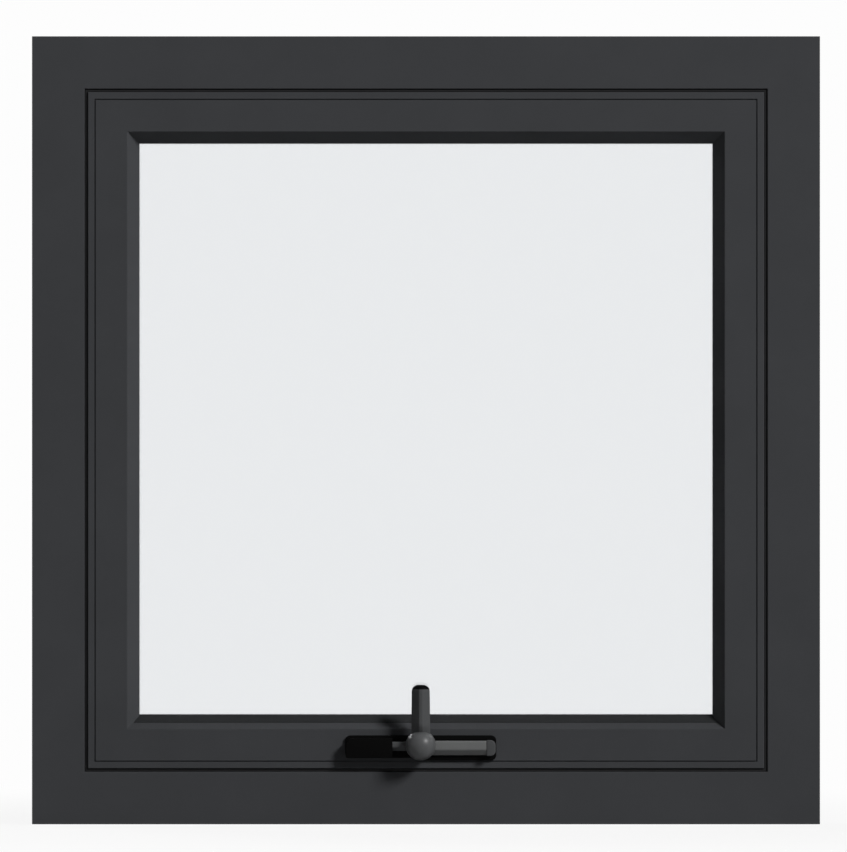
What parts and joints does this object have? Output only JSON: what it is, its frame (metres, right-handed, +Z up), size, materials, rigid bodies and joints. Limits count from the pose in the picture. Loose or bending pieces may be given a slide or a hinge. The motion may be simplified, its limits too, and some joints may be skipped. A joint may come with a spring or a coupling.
{
  "type": "awning window",
  "caption": "Small square top-hung awning window, dark aluminium frame and sash, double glazing, turning handle on the bottom rail.",
  "frame": {"origin": "middle of the sill's underside, half way through the frame's depth", "axes": "+X to the right seen from the room, +Y outdoors, +Z up"},
  "size_m": [0.6, 0.0795, 0.6],
  "materials": {
    "frame_coating": "matte powder coat, charcoal",
    "sash_coating": "matte powder coat, charcoal",
    "glass": "clear float glass",
    "spacer_metal": "mill finish",
    "seal_rubber": "matte",
    "cover_plastic": "black moulded",
    "handle_coating": "satin coated die casting",
    "stay_steel": "stainless, satin"
  },
  "bodies": {
    "window": {"frame_head": "frame_coating", "frame_sill": "frame_coating", "frame_jamb_left": "frame_coating", "frame_jamb_right": "frame_coating", "sash_top_rail": "sash_coating", "sash_bottom_rail": "sash_coating", "sash_stile_left": "sash_coating", "sash_stile_right": "sash_coating", "glazing_bead_top": "sash_coating", "glazing_bead_bottom": "sash_coating", "glazing_bead_left": "sash_coating", "glazing_bead_right": "sash_coating", "glass_pane_inner": "glass", "glass_pane_outer": "glass", "glass_spacer": "spacer_metal", "glazing_gasket_inner": "seal_rubber", "glazing_gasket_outer": "seal_rubber", "gap_seal": "seal_rubber", "weather_seal": "seal_rubber", "drain_cover_left": "cover_plastic", "drain_cover_right": "cover_plastic", "handle_backplate": "cover_plastic", "handle_left_cover": "cover_plastic", "handle_base": "handle_coating", "handle_right_cap": "handle_coating", "stay_track_left": "stay_steel", "stay_long_arm_left": "stay_steel", "stay_short_arm_left": "stay_steel", "stay_sash_bar_left": "stay_steel", "stay_track_right": "stay_steel", "stay_long_arm_right": "stay_steel", "stay_short_arm_right": "stay_steel", "stay_sash_bar_right": "stay_steel"},
    "handle": {"handle_lever": "handle_coating", "handle_spindle": "stay_steel"}
  },
  "joints": [
    {"name": "handle_turn", "type": "hinge", "parent": "window", "child": "handle", "pos_m": [-0.004, -0.037, 0.0605], "axis": [0, 1, 0], "range_deg": [0, 90]}
  ]
}
